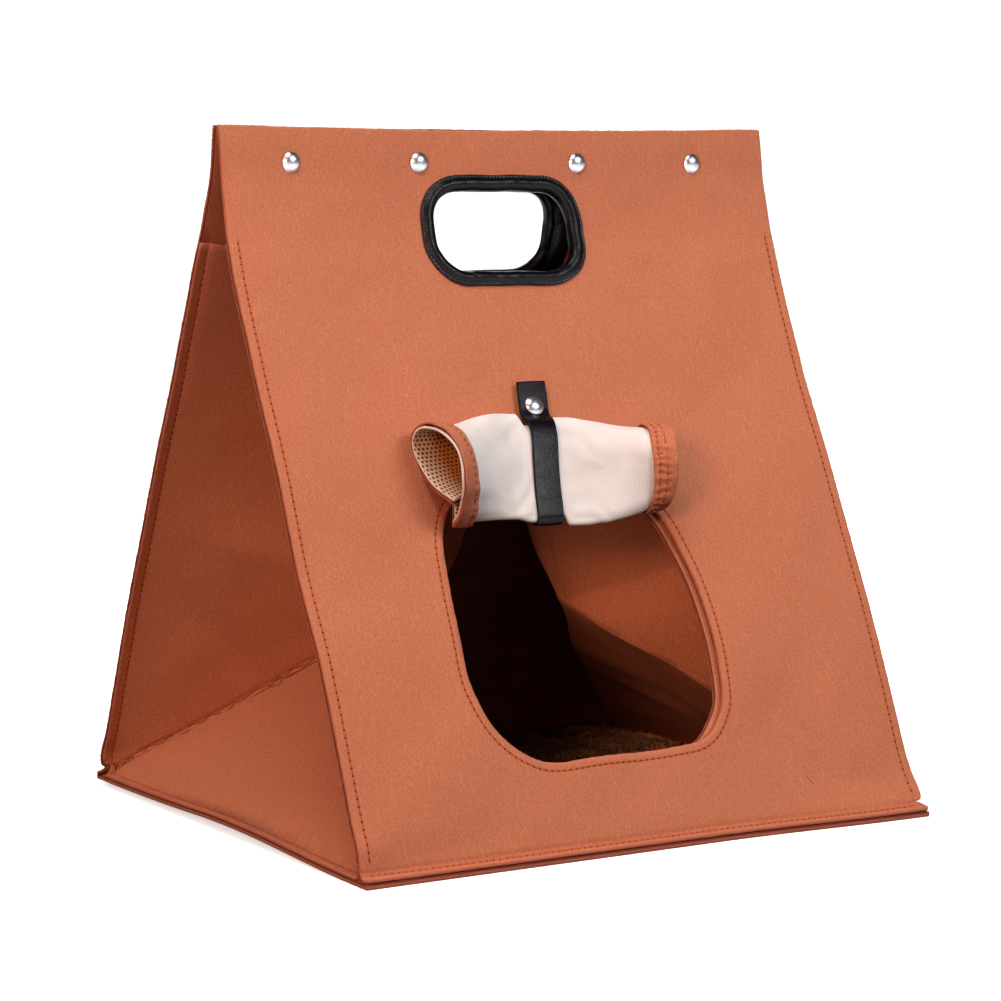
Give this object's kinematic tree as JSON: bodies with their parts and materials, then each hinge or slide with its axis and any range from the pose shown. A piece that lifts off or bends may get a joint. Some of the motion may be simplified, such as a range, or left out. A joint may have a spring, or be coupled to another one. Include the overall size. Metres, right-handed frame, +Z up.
{
  "type": "pet tent",
  "caption": "Felt pet tent and carrier: two leaning panels snapped along the top, bound hand slots, inward folded side gussets, rolled mesh door flap and a plush floor mat.",
  "frame": {"origin": "middle of the floor's underside, on the surface that the tent stands on", "axes": "+Z up, the front with the door towards -Y, +X to the right seen from the front"},
  "size_m": [0.4005, 0.37, 0.4244],
  "materials": {
    "felt": "rust brown needled felt, matt and fuzzy, with pinkish brown cut edges",
    "mesh": "cream air mesh with small holes",
    "leather": "black leather-look, fine grain, soft gloss",
    "nickel": "polished nickel plate",
    "plush": "gold and cream short plush pile"
  },
  "bodies": {
    "root": {"front_panel": "felt", "back_panel": "felt", "floor_panel": "felt", "gusset_left": "felt", "gusset_right": "felt", "door_facing": "felt", "flap_band_left": "felt", "flap_band_right": "felt", "flap_mesh": "mesh", "handle_binding_front": "leather", "handle_binding_back": "leather", "strap": "leather", "strap_snap_cap": "nickel", "strap_snap_base": "nickel", "snap_front_1": "nickel", "snap_front_2": "nickel", "snap_front_3": "nickel", "snap_front_4": "nickel", "snap_back_1": "nickel", "snap_back_2": "nickel", "snap_back_3": "nickel", "snap_back_4": "nickel", "floor_mat": "plush"}
  },
  "joints": []
}
